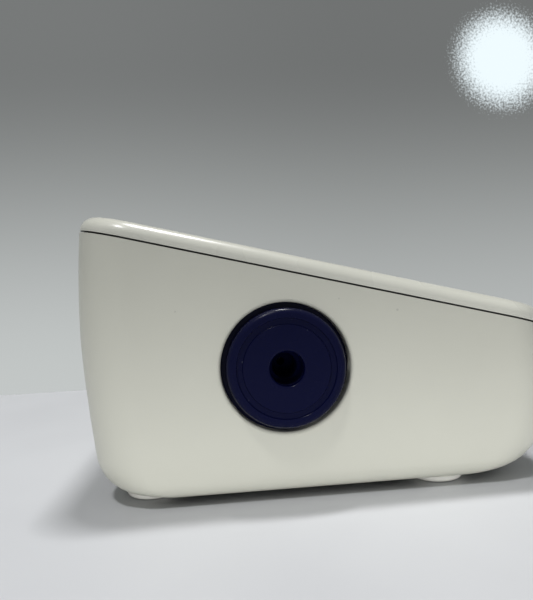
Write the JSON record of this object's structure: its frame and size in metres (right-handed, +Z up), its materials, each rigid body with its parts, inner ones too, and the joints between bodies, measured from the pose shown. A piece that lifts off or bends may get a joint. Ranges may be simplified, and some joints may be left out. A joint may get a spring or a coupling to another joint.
{
  "type": "table-top arm blood pressure monitor",
  "caption": "Wedge-shaped table-top monitor console with a round side air socket for an arm cuff, sloped display and buttons, pump, valve and cells inside.",
  "frame": {"origin": "on the table, under the middle of the case, at the underside of the feet", "axes": "+Z up, -Y towards the user (low front end), +X to the user's right, so the air socket faces -X"},
  "size_m": [0.1417, 0.1054, 0.063],
  "materials": {
    "case_ivory": "satin moulded ABS, warm ivory",
    "cover_ivory": "smooth moulded ABS, warm ivory",
    "window": "clear acrylic window",
    "lcd_glass": "grey-green reflective LCD",
    "white_plastic": "natural white moulded plastic",
    "conductive_rubber": "striped elastomeric connector",
    "circuit_board": "green solder mask",
    "black_plastic": "black moulded plastic",
    "socket_navy": "glossy dark navy moulded plastic",
    "silicone_hose": "translucent silicone",
    "plated_steel": "nickel-plated steel",
    "rotor_brass": "turned brass and copper",
    "cushion_rubber": "black foam rubber",
    "coil_winding": "enamelled copper wire",
    "cell_jacket": "plain printed cell jacket",
    "contact_brass": "sprung contact sheet",
    "foot_rubber": "ivory elastomer",
    "button_navy": "dark navy moulded plastic",
    "button_grey": "light grey moulded plastic",
    "switch_plunger": "white moulded plastic",
    "wire_sleeve": "red and black wire sleeve"
  },
  "bodies": {
    "console": {"lower_case": "case_ivory", "top_cover": "cover_ivory", "display_lens": "window", "lcd_panel": "lcd_glass", "lcd_frame": "white_plastic", "board_connectors": "white_plastic", "manifold": "white_plastic", "pump_head": "white_plastic", "zebra_strips": "conductive_rubber", "main_board": "circuit_board", "board_chips": "black_plastic", "tact_switches": "black_plastic", "buzzer": "black_plastic", "pressure_sensor": "black_plastic", "power_jack": "black_plastic", "air_socket": "socket_navy", "socket_hose": "silicone_hose", "pump_hose": "silicone_hose", "valve_hose": "silicone_hose", "sensor_hose": "silicone_hose", "pump_motor": "plated_steel", "pump_clamp": "plated_steel", "valve_frame": "plated_steel", "valve_spring": "plated_steel", "case_screws": "plated_steel", "board_screws": "plated_steel", "clamp_screws": "plated_steel", "power_jack_pin": "plated_steel", "contact_springs": "plated_steel", "motor_cushion": "cushion_rubber", "valve_coil": "coil_winding", "battery_1": "cell_jacket", "battery_2": "cell_jacket", "battery_3": "cell_jacket", "battery_4": "cell_jacket", "contact_plates": "contact_brass", "foot_front_left": "foot_rubber", "foot_front_right": "foot_rubber", "foot_rear_left": "foot_rubber", "foot_rear_right": "foot_rubber", "battery_leads": "wire_sleeve", "motor_leads": "wire_sleeve", "jack_leads": "wire_sleeve"},
    "start_button": {"start_button": "button_navy", "start_plunger": "switch_plunger"},
    "memory_button": {"memory_button": "button_grey", "memory_plunger": "switch_plunger"},
    "clock_button": {"clock_button": "button_grey", "clock_plunger": "switch_plunger"},
    "battery_door": {"battery_door": "case_ivory"},
    "pump_rotor": {"motor_rotor": "rotor_brass"},
    "valve_plunger": {"valve_plunger": "plated_steel"}
  },
  "joints": [
    {"name": "start_button_press", "type": "slide", "parent": "console", "child": "start_button", "axis": [0, -0.2453, 0.9694], "range_m": [-0.0006, 0], "stiffness_N_per_m": 900},
    {"name": "memory_button_press", "type": "slide", "parent": "console", "child": "memory_button", "axis": [0, -0.2453, 0.9694], "range_m": [-0.0006, 0], "stiffness_N_per_m": 900},
    {"name": "clock_button_press", "type": "slide", "parent": "console", "child": "clock_button", "axis": [0, -0.2453, 0.9694], "range_m": [-0.0006, 0], "stiffness_N_per_m": 900},
    {"name": "battery_door_hinge", "type": "hinge", "parent": "console", "child": "battery_door", "pos_m": [0.015, 0.0414, 0.0029], "axis": [1, 0, 0], "range_deg": [0, 100]},
    {"name": "pump_rotor_spin", "type": "hinge", "parent": "console", "child": "pump_rotor", "pos_m": [-0.03, 0.02, 0.0178], "axis": [0, 1, 0], "continuous": true},
    {"name": "valve_plunger_slide", "type": "slide", "parent": "console", "child": "valve_plunger", "axis": [0, 0, 1], "range_m": [-0.0008, 0], "stiffness_N_per_m": 300, "deforming": ["valve_spring"]}
  ]
}
